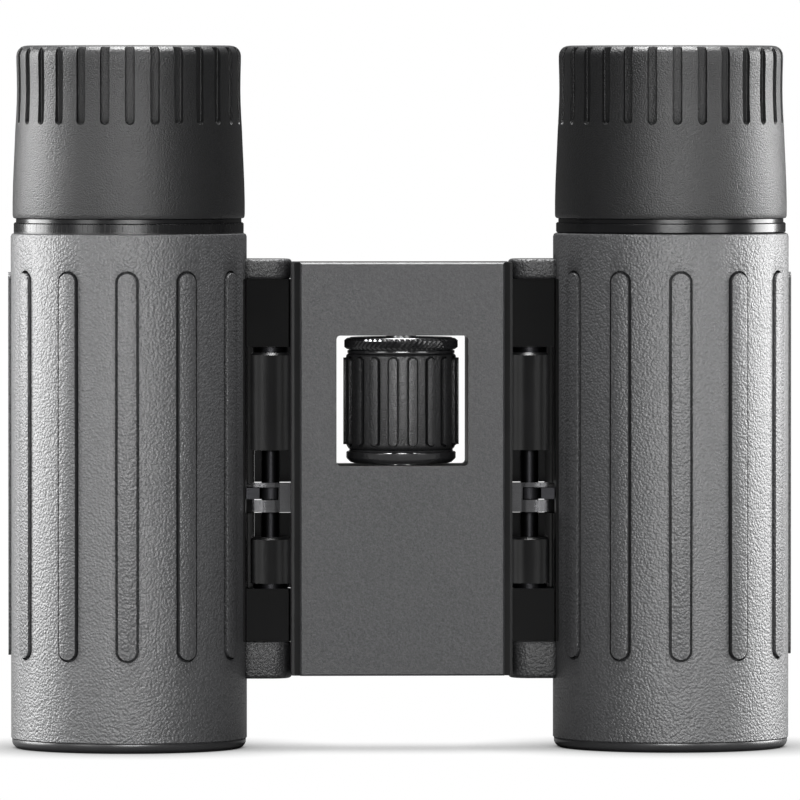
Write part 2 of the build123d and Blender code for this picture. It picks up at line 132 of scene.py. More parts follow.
class EyecupSettings(bpy.types.PropertyGroup):
    """Rubber eyecups with grip flutes."""
    colour: bpy.props.FloatVectorProperty(
        name="Colour", description="Colour of the rubber", subtype="COLOR", size=3,
        default=(0.008, 0.0081, 0.0085), min=0, max=1)
    flutes: bpy.props.IntProperty(
        name="Flutes", description="Number of grip flutes", default=28, min=8, max=60)
    flute_width: bpy.props.FloatProperty(
        name="Flute width", description="Width of one flute", subtype="DISTANCE",
        unit="LENGTH", default=1.28 * MM, min=0.3 * MM, max=3 * MM)
    flute_depth: bpy.props.FloatProperty(
        name="Flute depth", description="Depth of one flute below the rim", subtype="DISTANCE",
        unit="LENGTH", default=0.62 * MM, min=0.1 * MM, max=1 * MM)
    flute_low: bpy.props.FloatProperty(
        name="Flute end", description="Height at which the flutes run out", subtype="DISTANCE",
        unit="LENGTH", default=82.2 * MM)


class WheelSettings(bpy.types.PropertyGroup):
    """Focus wheel."""
    colour: bpy.props.FloatVectorProperty(
        name="Colour", description="Colour of the grip", subtype="COLOR", size=3,
        default=(0.009, 0.009, 0.0095), min=0, max=1)
    pads: bpy.props.IntProperty(
        name="Pads", description="Number of grip pads", default=18, min=6, max=40)
    knurls: bpy.props.IntProperty(
        name="Knurls", description="Diamonds round the knurled ring", default=64, min=20, max=120)


class BridgeSettings(bpy.types.PropertyGroup):
    """Bridge, its covers and the hinge hardware."""
    cover_colour: bpy.props.FloatVectorProperty(
        name="Cover colour", description="Colour of the satin cover plates", subtype="COLOR",
        size=3, default=(0.02, 0.0202, 0.0212), min=0, max=1)
    speckle: bpy.props.FloatProperty(
        name="Speckle", description="Size of the paint's speckle", subtype="DISTANCE",
        unit="LENGTH", default=0.22 * MM, min=0.05 * MM, max=1 * MM)
    frame_colour: bpy.props.FloatVectorProperty(
        name="Frame colour", description="Colour of the black frame", subtype="COLOR",
        size=3, default=(0.004, 0.004, 0.0042), min=0, max=1)


class StageSettings(bpy.types.PropertyGroup):
    """Camera, floor and lights."""
    camera_distance: bpy.props.FloatProperty(
        name="Camera distance", description="From the barrels to the camera",
        subtype="DISTANCE", unit="LENGTH", default=1.5)
    camera_turn: bpy.props.FloatProperty(
        name="Camera turn", description="How far the camera stands to the left of the front",
        subtype="ANGLE", unit="ROTATION", default=math.radians(2.0))
    camera_height: bpy.props.FloatProperty(
        name="Camera height", description="Height of the camera above the floor",
        subtype="DISTANCE", unit="LENGTH", default=88 * MM)
    view_height: bpy.props.FloatProperty(
        name="View height", description="Height of the point in the picture's middle",
        subtype="DISTANCE", unit="LENGTH", default=46.1 * MM)
    view_width: bpy.props.FloatProperty(
        name="View width", description="Width that the picture shows at the barrels",
        subtype="DISTANCE", unit="LENGTH", default=106.2 * MM)
    top_power: bpy.props.FloatProperty(
        name="Top light", description="Power of the softbox above", subtype="POWER", default=70)
    key_power: bpy.props.FloatProperty(
        name="Key lights", description="Power of the softboxes at the front corners",
        subtype="POWER", default=5.5)
    flank_power: bpy.props.FloatProperty(
        name="Flank lights", description="Power of the softboxes beside the barrels",
        subtype="POWER", default=34)
    hinge_power: bpy.props.FloatProperty(
        name="Hinge lights", description="Power of the strips that light the hinges alone",
        subtype="POWER", default=13)
    fill_power: bpy.props.FloatProperty(
        name="Front light", description="Power of the softbox in front", subtype="POWER", default=15)
    floor_colour: bpy.props.FloatVectorProperty(
        name="Floor colour", description="Colour of the floor", subtype="COLOR", size=3,
        default=(0.12, 0.12, 0.12), min=0, max=1)


# ---- modelling steps ----

def select_only(piece):
    """Make a piece the only selected and the active object."""
    bpy.ops.object.select_all(action="DESELECT")
    piece.select_set(True)
    bpy.context.view_layer.objects.active = piece


def pick(piece, wanted):
    """Enter edit mode with only the points selected whose place passes a test."""
    select_only(piece)
    bpy.ops.object.mode_set(mode="EDIT")
    bpy.ops.mesh.select_all(action="DESELECT")
    bpy.ops.object.mode_set(mode="OBJECT")
    for vertex in piece.data.vertices:
        vertex.select = wanted(vertex.co)
    bpy.ops.object.mode_set(mode="EDIT")


def move_points(piece, wanted, shift):
    """Move the points whose place passes a test."""
    pick(piece, wanted)
    bpy.ops.transform.translate(value=shift)
    bpy.ops.object.mode_set(mode="OBJECT")


def apply_modifier(piece, kind, **values):
    """Add a modifier with these values and apply it."""
    select_only(piece)
    modifier = piece.modifiers.new(kind.lower(), kind)
    for key, value in values.items():
        setattr(modifier, key, value)
    bpy.ops.object.modifier_apply(modifier=modifier.name)


def soften(piece, width, angle=40, segments=2):
    """Round the edges that are sharper than angle, in degrees."""
    apply_modifier(piece, "BEVEL", width=width, segments=segments, limit_method="ANGLE",
                   angle_limit=math.radians(angle), use_clamp_overlap=True, harden_normals=False)


def carve(piece, tool, operation="DIFFERENCE"):
    """Cut a tool out of a piece, or join it on, and remove the tool."""
    apply_modifier(piece, "BOOLEAN", object=tool, operation=operation, solver="EXACT")
    bpy.data.objects.remove(tool, do_unlink=True)


def smooth(piece, angle=30):
    """Smooth shading, kept crisp at edges sharper than angle, in degrees."""
    select_only(piece)
    bpy.ops.object.shade_smooth_by_angle(angle=math.radians(angle))


def settle(piece, name):
    """Name a piece and put its place into its mesh."""
    select_only(piece)
    bpy.ops.object.transform_apply(location=True, rotation=True, scale=True)
    piece.name = piece.data.name = name
    return piece


def turned(name, outline, axis, steps=192):
    """Spin a closed outline of (radius, height) points about the upright axis through a point."""
    points = [Vector((axis.x + radius, axis.y, height)) for radius, height in outline]
    bpy.ops.object.select_all(action="DESELECT")
    bpy.ops.mesh.primitive_plane_add(size=MM, location=points[0])
    piece = bpy.context.active_object
    bpy.ops.object.mode_set(mode="EDIT")
    bpy.ops.mesh.select_all(action="SELECT")
    bpy.ops.mesh.merge(type="CENTER")
    for start, end in zip(points, points[1:] + points[:1]):
        bpy.ops.mesh.extrude_region_move(TRANSFORM_OT_translate={"value": end - start})
    bpy.ops.mesh.select_all(action="SELECT")
    bpy.ops.mesh.remove_doubles(threshold=0.001 * MM)
    bpy.ops.mesh.select_all(action="SELECT")
    bpy.ops.mesh.spin(steps=steps, angle=2 * math.pi, center=(axis.x, axis.y, 0), axis=(0, 0, 1))
    bpy.ops.mesh.select_all(action="SELECT")
    bpy.ops.mesh.remove_doubles(threshold=0.001 * MM)
    bpy.ops.mesh.normals_make_consistent(inside=False)
    bpy.ops.object.mode_set(mode="OBJECT")
    return settle(piece, name)


def in_metres(outline):
    """An outline given in millimetres."""
    return [(radius * MM, height * MM) for radius, height in outline]


def sleeve(inner, outer, axis, high=80 * MM, steps=180):
    """A plain sleeve about an upright axis, from the floor up, used to cut or to trim."""
    return turned("sleeve", [(inner, 0), (outer, 0), (outer, high), (inner, high)], axis, steps)


def bar(width, length, low_radius, high_radius, axis, middle_z, rounding=0.0):
    """A bar with round ends that stands on end at the front of an axis, from one radius to another."""
    depth = high_radius - low_radius
    bpy.ops.object.select_all(action="DESELECT")
    bpy.ops.mesh.primitive_cylinder_add(
        vertices=28, radius=width / 2, depth=depth, rotation=(math.pi / 2, 0, 0),
        location=(axis.x, axis.y - low_radius - depth / 2, middle_z))
    piece = bpy.context.active_object
    settle(piece, "bar")
    stretch = (length - width) / 2
    for side in (-1, 1):
        move_points(piece, lambda point: side * (point.z - middle_z) > 0.01 * width,
                    (0, 0, side * stretch))
    if rounding:
        soften(piece, rounding, angle=60, segments=3)
    return piece


def round_about(tool, axis, angles):
    """Copies of a tool turned about an upright axis, joined into one object."""
    there = Matrix.Translation((axis.x, axis.y, 0))
    copies = []
    for angle in angles:
        twin = tool.copy()
        twin.data = tool.data.copy()
        bpy.context.scene.collection.objects.link(twin)
        twin.data.transform(there @ Matrix.Rotation(angle, 4, "Z") @ there.inverted())
        copies.append(twin)
    bpy.data.objects.remove(tool, do_unlink=True)
    select_only(copies[0])
    for twin in copies:
        twin.select_set(True)
    bpy.ops.object.join()
    return bpy.context.active_object


def raise_pads(shell, axis, angles, middle_z, pad, groove, reach, floor, top, rounding, steps=180):
    """Leave slot-shaped pads in grooves of a round shell.

    pad and groove are widths and lengths, reach the radii between which the tools stand, floor the
    radius of the grooves' bottom and top that of the pads' faces.
    """
    low, high = reach
    cutter = bar(*groove, low, high, axis, middle_z)
    carve(cutter, sleeve(floor, high + MM, axis, steps=steps), "INTERSECT")
    carve(shell, round_about(cutter, axis, angles))
    block = bar(*pad, low, high, axis, middle_z)
    carve(block, sleeve(low - 0.9 * MM, top, axis), "INTERSECT")
    soften(block, rounding, angle=50, segments=3)
    carve(shell, round_about(block, axis, angles), "UNION")


def mirrored(piece, name):
    """The right barrel's copy of a left piece, mirrored across the bridge."""
    twin = piece.copy()
    twin.data = piece.data.copy()
    twin.name = twin.data.name = name
    bpy.context.scene.collection.objects.link(twin)
    twin.data.transform(Matrix.Scale(-1, 4, (1, 0, 0)))
    twin.data.flip_normals()
    return twin


def box_tool(low, high):
    """A block between two corners, used to cut."""
    low, high = Vector(low), Vector(high)
    bpy.ops.object.select_all(action="DESELECT")
    bpy.ops.mesh.primitive_cube_add(size=1, location=(low + high) / 2)
    piece = bpy.context.active_object
    piece.scale = high - low
    return settle(piece, "block")


def place(piece, body, slot, material, *nodes):
    """Give a finished piece its material and body and hide the CAD nodes it stands for; the finish slot is
    not used.
    """
    piece.data.materials.clear()
    piece.data.materials.append(material)
    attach(piece, body)
    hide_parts(*nodes)


def paint(material, *nodes):
    """Give CAD nodes a material."""
    for node in nodes:
        NODES[node].data.materials.clear()
        NODES[node].data.materials.append(material)


# ---- materials ----

def blank_material(name, colour, roughness, metallic=0.0, specular=0.5):
    """A material with constant shader values; returns it with its node tree and shader."""
    material = bpy.data.materials.new(name)
    material.use_nodes = True
    tree = material.node_tree
    shader = tree.nodes["Principled BSDF"]
    shader.inputs["Base Color"].default_value = (*colour, 1)
    shader.inputs["Roughness"].default_value = roughness
    shader.inputs["Metallic"].default_value = metallic
    shader.inputs["Specular IOR Level"].default_value = specular
    return material, tree, shader


def node(tree, kind, values=None, **inputs):
    """Add a node, set its properties, and set or link its inputs by name."""
    made = tree.nodes.new(kind)
    for key, value in (values or {}).items():
        setattr(made, key, value)
    for key, value in inputs.items():
        socket = made.inputs[key.replace("_", " ")]
        if isinstance(value, bpy.types.NodeSocket):
            tree.links.new(value, socket)
        else:
            socket.default_value = value
    return made


def blend_values(tree, operation, first, second):
    """A maths node on two sockets or numbers."""
    made = tree.nodes.new("ShaderNodeMath")
    made.operation = operation
    for socket, value in zip(made.inputs, (first, second)):
        if isinstance(value, bpy.types.NodeSocket):
            tree.links.new(value, socket)
        else:
            socket.default_value = value
    return made.outputs[0]


def set_bump(tree, shader, height, depth, strength=1.0):
    """Drive the shader's normal with a height from 0 to 1 and the depth it stands for."""
    bump = node(tree, "ShaderNodeBump", Height=height, Distance=depth, Strength=strength)
    tree.links.new(bump.outputs["Normal"], shader.inputs["Normal"])


def vary(tree, shader, socket, factor, low, high):
    """Let a factor from 0 to 1 run a shader value between two numbers."""
    made = node(tree, "ShaderNodeMapRange", Value=factor)
    made.inputs["To Min"].default_value = low
    made.inputs["To Max"].default_value = high
    tree.links.new(made.outputs["Result"], shader.inputs[socket])


def tint(tree, shader, factor, dark, light):
    """Let a factor from 0 to 1 run the base colour between two colours."""
    ramp = tree.nodes.new("ShaderNodeValToRGB")
    ramp.color_ramp.elements[0].color = (*dark, 1)
    ramp.color_ramp.elements[1].color = (*light, 1)
    tree.links.new(factor, ramp.inputs["Fac"])
    tree.links.new(ramp.outputs["Color"], shader.inputs["Base Color"])


def scaled(colour, factor):
    """A colour made darker or lighter."""
    return tuple(min(1.0, channel * factor) for channel in colour)


def grained_rubber(name, colour, grain, depth, roughness, specular=0.45):
    """Moulded rubber with a leathery grain of wrinkled bumps, made duller and darker in its creases by
    painted shade.
    """
    material, tree, shader = blank_material(name, colour, roughness, specular=specular)
    place_in = tree.nodes.new("ShaderNodeTexCoord").outputs["Object"]
    drift = node(tree, "ShaderNodeTexNoise", Vector=place_in, Scale=0.6 / grain, Detail=2.0)
    offset = node(tree, "ShaderNodeVectorMath", {"operation": "SCALE"})
    tree.links.new(drift.outputs["Color"], offset.inputs[0])
    offset.inputs["Scale"].default_value = 0.7 * grain
    moved = node(tree, "ShaderNodeVectorMath", {"operation": "ADD"})
    tree.links.new(place_in, moved.inputs[0])
    tree.links.new(offset.outputs[0], moved.inputs[1])
    cells = node(tree, "ShaderNodeTexVoronoi", {"feature": "SMOOTH_F1"},
                 Vector=moved.outputs[0], Scale=1 / grain, Smoothness=0.4)
    fine = node(tree, "ShaderNodeTexNoise", Vector=place_in, Scale=3 / grain, Detail=3.0)
    bumps = blend_values(tree, "SUBTRACT", 1.0, cells.outputs["Distance"])
    wrinkles = blend_values(tree, "MULTIPLY", fine.outputs["Fac"], 0.45)
    height = blend_values(tree, "ADD", bumps, wrinkles)
    set_bump(tree, shader, height, depth)
    # Painted shade: ambient occlusion darkens the colour and dims the specular in creases and grooves; the
    # grain's bumps also lighten the colour.
    corner = node(tree, "ShaderNodeAmbientOcclusion", {"samples": 6}, Distance=0.9 * MM)
    crease_shade = blend_values(tree, "POWER", corner.outputs["AO"], 2.5)
    grain_and_crease_shade = blend_values(tree, "MULTIPLY", bumps, crease_shade)
    tint(tree, shader, grain_and_crease_shade, scaled(colour, 0.5), scaled(colour, 1.2))
    vary(tree, shader, "Specular IOR Level", crease_shade, 0.05, specular)
    vary(tree, shader, "Roughness", fine.outputs["Fac"], roughness - 0.08, roughness + 0.08)
    return material


def speckled_paint(name, colour, speckle):
    """Satin paint with a fine light speckle and a faint orange peel."""
    material, tree, shader = blank_material(name, colour, 0.42, specular=0.25)
    place_in = tree.nodes.new("ShaderNodeTexCoord").outputs["Object"]
    fleck = node(tree, "ShaderNodeTexNoise", Vector=place_in, Scale=1 / speckle, Detail=4.0,
                 Roughness=0.7)
    peel = node(tree, "ShaderNodeTexNoise", Vector=place_in, Scale=0.35 / speckle, Detail=2.0)
    sharp = node(tree, "ShaderNodeMapRange", Value=fleck.outputs["Fac"])
    sharp.inputs["From Min"].default_value = 0.3
    sharp.inputs["From Max"].default_value = 0.7
    tint(tree, shader, sharp.outputs["Result"], scaled(colour, 0.45), scaled(colour, 1.6))
    both = blend_values(tree, "ADD", fleck.outputs["Fac"], peel.outputs["Fac"])
    set_bump(tree, shader, both, 0.02 * MM)
    vary(tree, shader, "Roughness", peel.outputs["Fac"], 0.36, 0.5)
    return material


def moulded_plastic(name, colour, roughness, texture=0.3 * MM, depth=0.006 * MM, coat=0.0,
                    specular=0.5):
    """Hard moulded plastic, gloss or satin, with a slightly uneven skin."""
    material, tree, shader = blank_material(name, colour, roughness, specular=specular)
    shader.inputs["Coat Weight"].default_value = coat
    shader.inputs["Coat Roughness"].default_value = 0.05
    place_in = tree.nodes.new("ShaderNodeTexCoord").outputs["Object"]
    skin = node(tree, "ShaderNodeTexNoise", Vector=place_in, Scale=1 / texture, Detail=3.0)
    smudge = node(tree, "ShaderNodeTexNoise", Vector=place_in, Scale=0.08 / texture, Detail=2.0)
    set_bump(tree, shader, skin.outputs["Fac"], depth)
    tint(tree, shader, smudge.outputs["Fac"], scaled(colour, 0.8), scaled(colour, 1.2))
    vary(tree, shader, "Roughness", smudge.outputs["Fac"], 0.8 * roughness, 1.25 * roughness)
    return material


def turned_metal(name, colour, roughness, rings=0.12 * MM, depth=0.004 * MM):
    """Machined metal with fine turning marks along its height."""
    material, tree, shader = blank_material(name, colour, roughness, metallic=1.0)
    place_in = tree.nodes.new("ShaderNodeTexCoord").outputs["Object"]
    squeeze = node(tree, "ShaderNodeMapping", Vector=place_in)
    squeeze.inputs["Scale"].default_value = (0.05, 0.05, 1)
    marks = node(tree, "ShaderNodeTexNoise", Vector=squeeze.outputs[0], Scale=1 / rings, Detail=3.0)
    stain = node(tree, "ShaderNodeTexNoise", Vector=place_in, Scale=400.0, Detail=3.0)
    set_bump(tree, shader, marks.outputs["Fac"], depth)
    tint(tree, shader, stain.outputs["Fac"], scaled(colour, 0.75), scaled(colour, 1.15))
    vary(tree, shader, "Roughness", marks.outputs["Fac"], 0.75 * roughness, 1.3 * roughness)
    return material


def coated_glass(name, colour, film_low, film_high):
    """Dark optical glass whose coating turns from one colour in the middle to another at the edge."""
    material, tree, shader = blank_material(name, colour, 0.02)
    shader.inputs["IOR"].default_value = 1.6
    shader.inputs["Transmission Weight"].default_value = 0.6
    shader.inputs["Coat Weight"].default_value = 1.0
    shader.inputs["Coat Roughness"].default_value = 0.01
    facing = node(tree, "ShaderNodeLayerWeight", Blend=0.45)
    tint(tree, shader, facing.outputs["Facing"], film_low, film_high)
    return material


# ---- left barrel's outlines ----

def armour_outline():
    """Outside and inside of the armour shell."""
    low, high = span_z("left_armour")
    outer = ARMOUR_RADIUS
    inner = half_width("left_barrel_tube")
    lip = 13.1 * MM
    top_wall = 0.8 * MM
    return [(inner, low), (outer - 0.15 * MM, low), (outer, low + 0.15 * MM), (outer, high - 0.45 * MM),
            (outer - 0.12 * MM, high - 0.14 * MM), (outer - 0.42 * MM, high), (lip, high),
            (lip, high - top_wall), (inner, high - top_wall)]


def eyecup_outline():
    """Waisted outside, rounded rim and inner wall of an eyecup."""
    low, high = span_z("left_eyecup")
    inner = half_width("left_eyecup_core")
    core_top = span_z("left_eyecup_core")[1]
    mouth = 10.6 * MM
    waist = [(15.12, 0), (15.3, 0.08), (15.38, 0.3), (15.4, 0.7), (15.4, 2.2), (15.34, 4.6), (15.24, 7.0),
             (15.12, 9.6), (15.04, 11.6), (14.93, 13.6), (14.85, 15.4), (14.82, 17.0), (14.84, 18.8),
             (14.89, 20.6), (14.9, 21.5), (14.83, 21.95), (14.62, 22.35), (14.3, 22.66), (13.9, 22.83),
             (13.4, 22.9)]
    outside = [(radius, low + height) for radius, height in in_metres(waist)]
    return outside + [(mouth + 0.9 * MM, high), (mouth + 0.45 * MM, high - 0.12 * MM),
                      (mouth + 0.1 * MM, high - 0.5 * MM), (mouth, high - 0.9 * MM), (mouth, core_top),
                      (inner, core_top), (inner, low)]


# ---- operators ----

class BuildArmour(bpy.types.Operator):
    """Model the ribbed rubber armour of both barrels"""
    bl_idname = "binoculars.armour"
    bl_label = "Armour"

    def execute(self, context):
        settings = context.scene.binocular_armour
        rubber = grained_rubber("armour_rubber", settings.colour, settings.grain,
                                settings.grain_depth, 0.46, specular=0.9)
        shell = turned("left_armour_shell", armour_outline(), BARREL, steps=180)
        pad_low, pad_high = 12.3 * MM, 63.1 * MM
        middle, length = (pad_low + pad_high) / 2, pad_high - pad_low
        turns = [settings.pad_turn + math.radians(30 * step + 120) for step in range(11)]
        margin = 2 * settings.groove_width
        raise_pads(shell, BARREL, turns, middle, pad=(settings.pad_width, length),
                   groove=(settings.pad_width + margin, length + margin), reach=(14.9 * MM, 17 * MM),
                   floor=ARMOUR_RADIUS - settings.groove_depth, top=16 * MM, rounding=0.2 * MM)
        low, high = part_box("left_hinge_bracket")
        cap_low, cap_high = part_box("left_hinge_caps")
        lower_cap, upper_cap, clearance = 4.9 * MM, 2.7 * MM, 1.25 * MM
        inside_wall = BARREL.x + 10 * MM
        opening = box_tool((inside_wall, low.y - clearance, cap_low.z + lower_cap),
                           (HINGE.x, high.y, cap_high.z - upper_cap))
        carve(shell, opening)
        smooth(shell, 35)
        twin = mirrored(shell, "right_armour_shell")
        for side, piece in zip(SIDES, (shell, twin)):
            place(piece, f"{side}_barrel", "armour_rubber", rubber, f"{side}_armour")
        return {"FINISHED"}


class BuildHingeCaps(bpy.types.Operator):
    """Model the rubber caps over the ends of both hinges"""
    bl_idname = "binoculars.hinge_caps"
    bl_label = "Hinge caps"

    def execute(self, context):
        armour = context.scene.binocular_armour
        # Painted shade: the caps take the armour's rubber at half its colour and with a weaker specular, a
        # darker copy standing for the shade between the barrels.
        rubber = grained_rubber("cap_rubber", scaled(armour.colour, 0.5), armour.grain,
                                armour.grain_depth, 0.5)
        low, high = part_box("left_hinge_caps")
        radius = high.y
        lower_top, upper_low = 14.1 * MM, 62.2 * MM
        overlap = 2.6 * MM
        barrel_radius = 15.62 * MM
        washer_hole, washer_depth = 2.05 * MM, 10.45 * MM
        for name, bottom, top in (("lower", low.z, lower_top), ("upper", upper_low, high.z)):
            bpy.ops.object.select_all(action="DESELECT")
            bpy.ops.mesh.primitive_cylinder_add(vertices=64, radius=radius, depth=top - bottom,
                                                location=(HINGE.x, 0, (bottom + top) / 2))
            cap = bpy.context.active_object
            settle(cap, f"left_{name}_hinge_cap")
            move_points(cap, lambda point: point.x < HINGE.x - 0.01 * MM, (-overlap, 0, 0))
            soften(cap, 0.55 * MM, angle=50, segments=4)
            carve(cap, sleeve(5 * MM, barrel_radius, BARREL, high=90 * MM))
            if name == "lower":
                carve(cap, sleeve(0.01 * MM, washer_hole, HINGE, high=washer_depth, steps=48))
            smooth(cap, 35)
            twin = mirrored(cap, f"right_{name}_hinge_cap")
            for side, piece in zip(SIDES, (cap, twin)):
                place(piece, f"{side}_barrel", "armour_rubber", rubber, f"{side}_hinge_caps")
        return {"FINISHED"}


class BuildEyecups(bpy.types.Operator):
    """Model both fluted eyecups"""
    bl_idname = "binoculars.eyecups"
    bl_label = "Eyecups"

    def execute(self, context):
        settings = context.scene.binocular_eyecup
        armour = context.scene.binocular_armour
        rubber = grained_rubber("eyecup_rubber", settings.colour, 0.62 * armour.grain,
                                0.5 * armour.grain_depth, 0.46)
        cup = turned("left_eyecup_rubber", eyecup_outline(), BARREL, steps=8 * settings.flutes)
        top = span_z("left_eyecup")[1] + 2 * MM
        rim_radius = 14.9 * MM
        flute = bar(settings.flute_width, top - settings.flute_low, rim_radius - settings.flute_depth,
                    17 * MM, BARREL, (top + settings.flute_low) / 2, rounding=0.14 * MM)
        inside = BARREL.y - rim_radius + 0.2 * MM
        foot = settings.flute_low + settings.flute_width
        run_out = 0.6 * MM
        move_points(flute, lambda point: point.y > inside and point.z < foot, (0, 0, run_out))
        turns = [2 * math.pi * step / settings.flutes for step in range(settings.flutes)]
        carve(cup, round_about(flute, BARREL, turns))
        smooth(cup, 32)
        twin = mirrored(cup, "right_eyecup_rubber")
        for side, piece in zip(SIDES, (cup, twin)):
            place(piece, f"{side}_eyecup", "eyecup_rubber", rubber, f"{side}_eyecup")
        return {"FINISHED"}


class BuildRings(bpy.types.Operator):
    """Model the gloss bands under the eyecups and the objective rings"""
    bl_idname = "binoculars.rings"
    bl_label = "Rings"

    def execute(self, context):
        gloss = moulded_plastic("gloss_black", (0.006, 0.006, 0.0064), 0.24, texture=0.8 * MM,
                                depth=0.003 * MM, specular=0.35)
        satin = moulded_plastic("satin_black", (0.02, 0.02, 0.021), 0.34)
        armour_high = span_z("left_armour")[1]
        low, high = armour_high + 0.05 * MM, span_z("diopter_ring")[1]
        edge = 0.15 * MM
        bore, lip, outer = 12.95 * MM, 14.95 * MM, 15.25 * MM
        gap_top = span_z("left_eyecup")[0] - 0.05 * MM
        band_outline = [(bore, low), (outer - edge, low), (outer, low + edge), (outer, high - edge),
                        (outer - edge, high), (lip, high), (lip, gap_top), (bore, gap_top)]
        band = turned("left_eyepiece_band", band_outline, BARREL)
        smooth(band)
        ring = mirrored(band, "right_diopter_band")
        band.data.materials.append(gloss)
        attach(band, "left_barrel")
        place(ring, "diopter_ring", "gloss_ring", gloss, "diopter_ring")
        thread = [(11.5 if half_turn % 2 else 11.7, 4.0 - 0.3 * half_turn) for half_turn in range(9)]
        foot_outline = [(11.7, 0.15), (11.85, 0), (14.75, 0), (15.05, 0.12), (15.35, 0.42), (15.5, 0.75),
                        (15.52, 1.24), (14.6, 1.24), (14.6, 5.2), (13.4, 5.2), (13.4, 6.0), (11.35, 6.0),
                        (11.2, 5.85), (11.2, 4.65), (11.35, 4.5), (11.5, 4.5), (11.5, 4.1), *thread]
        foot = turned("left_objective_foot", in_metres(foot_outline), BARREL)
        soften(foot, 0.06 * MM, angle=50)
        smooth(foot)
        twin = mirrored(foot, "right_objective_foot")
        for side, piece in zip(SIDES, (foot, twin)):
            place(piece, f"{side}_barrel", "satin_ring", satin, f"{side}_objective_ring")
        return {"FINISHED"}


class BuildWheel(bpy.types.Operator):
    """Model the focus wheel with its knurled ring, ribbed grip and gloss flange"""
    bl_idname = "binoculars.wheel"
    bl_label = "Focus wheel"

    def execute(self, context):
        settings = context.scene.binocular_wheel
        grip_rubber = grained_rubber("wheel_rubber", settings.colour, 0.24 * MM, 0.05 * MM, 0.36)
        metal = moulded_plastic("wheel_black", (0.008, 0.008, 0.0085), 0.2, coat=0.3)
        high = span_z("focus_wheel_core")[1]
        core_outline = [(2.0, 37.9), (6.3, 37.9), (6.7, 38.02), (7.2, 38.5), (7.25, 38.62), (7.25, 39.3),
                        (7.15, 39.42), (6.9, 39.45), (6.85, 39.7), (6.4, 39.7), (6.4, 52.4), (7.05, 52.4),
                        (7.1, 52.5), (7.1, 52.8), (6.9, 52.85), (6.9, 54.4), (6.75, 54.55), (4.6, 54.55),
                        (4.3, 54.3), (2.6, 54.3), (2.4, 54.5), (2.0, 54.5)]
        core = turned("focus_wheel_hub", in_metres(core_outline), WHEEL, 128)
        soften(core, 0.05 * MM, angle=40)
        smooth(core)
        place(core, "focus_wheel", "black_metal", metal, "focus_wheel_core")

        steps = 2 * settings.knurls
        rows = 5
        knurl_low, knurl_high = 52.95 * MM, high - 0.12 * MM
        pitch = (knurl_high - knurl_low) / rows
        bore, radius, chamfer = 6.8 * MM, 7.36 * MM, 0.22 * MM
        side_wall = [(radius - (chamfer if row in (0, rows) else 0), knurl_low + row * pitch)
                     for row in range(rows + 1)]
        ring_outline = [(bore, knurl_low), *side_wall, (bore, knurl_high)]
        knurl = turned("focus_wheel_knurl", ring_outline, WHEEL, steps)
        tooth = 2 * math.pi / steps
        peak, valley = 1.022, 0.985
        for vertex in knurl.data.vertices:
            away = Vector((vertex.co.x - WHEEL.x, vertex.co.y - WHEEL.y))
            row = round((vertex.co.z - knurl_low) / pitch)
            step = round(math.atan2(away.y, away.x) / tooth)
            if away.length > radius - chamfer and 0 < row < rows:
                reach = peak if (step + row) % 2 else valley
                vertex.co.x = WHEEL.x + away.x * reach
                vertex.co.y = WHEEL.y + away.y * reach
        place(knurl, "focus_wheel", "black_metal", metal, "focus_wheel_core")

        grip_outline = [(6.4, 39.7), (6.75, 39.7), (6.95, 39.8), (7.22, 40.25), (7.28, 40.45), (7.28, 52.0),
                        (7.22, 52.2), (7.05, 52.35), (6.4, 52.38)]
        grip = turned("focus_wheel_tread", in_metres(grip_outline), WHEEL, 144)
        turns = [2 * math.pi * (step + 0.5) / settings.pads for step in range(settings.pads)]
        raise_pads(grip, WHEEL, turns, 46.1 * MM, pad=(1.07 * MM, 11.5 * MM),
                   groove=(1.55 * MM, 12 * MM), reach=(6.6 * MM, 7.9 * MM), floor=7 * MM,
                   top=7.65 * MM, rounding=0.16 * MM, steps=144)
        smooth(grip, 35)
        place(grip, "focus_wheel", "wheel_rubber", grip_rubber, "focus_wheel_grip")
        return {"FINISHED"}


class FinishBridge(bpy.types.Operator):
    """Give the bridge, its covers and the hinge hardware their finishes"""
    bl_idname = "binoculars.bridge"
    bl_label = "Bridge"

    def execute(self, context):
        settings = context.scene.binocular_bridge
        cover = speckled_paint("satin_cover", settings.cover_colour, settings.speckle)
        black = moulded_plastic("black_frame", settings.frame_colour, 0.32, specular=0.4)
        steel = turned_metal("steel", (0.5, 0.5, 0.51), 0.28)
        bright = turned_metal("fork_metal", (0.3, 0.3, 0.31), 0.22)
        anodised = turned_metal("black_metal", (0.012, 0.012, 0.013), 0.35)
        brass = turned_metal("brass", (0.7, 0.52, 0.25), 0.25)
        paint(cover, "bridge_front_cover", "bridge_rear_cover")
        paint(black, "bridge_frame")
        paint(steel, "cover_screws", "focus_screw")
        paint(brass, "focus_nut")
        paint(anodised, "focus_carriage", "hinge_washers", "left_hinge_pin", "right_hinge_pin")
        for side in SIDES:
            paint(bright, f"{side}_focus_fork")
            paint(steel, f"{side}_prism_clamp")
            paint(anodised, f"{side}_focus_arm", f"{side}_objective_cell", f"{side}_objective_retainer",
                  f"{side}_ocular_cell", f"{side}_ocular_retainer")
            paint(black, f"{side}_hinge_bracket", f"{side}_barrel_tube", f"{side}_prism_holder",
                  f"{side}_eyepiece_base", f"{side}_eyecup_core", f"{side}_eyecup_cam_ring")
        return {"FINISHED"}


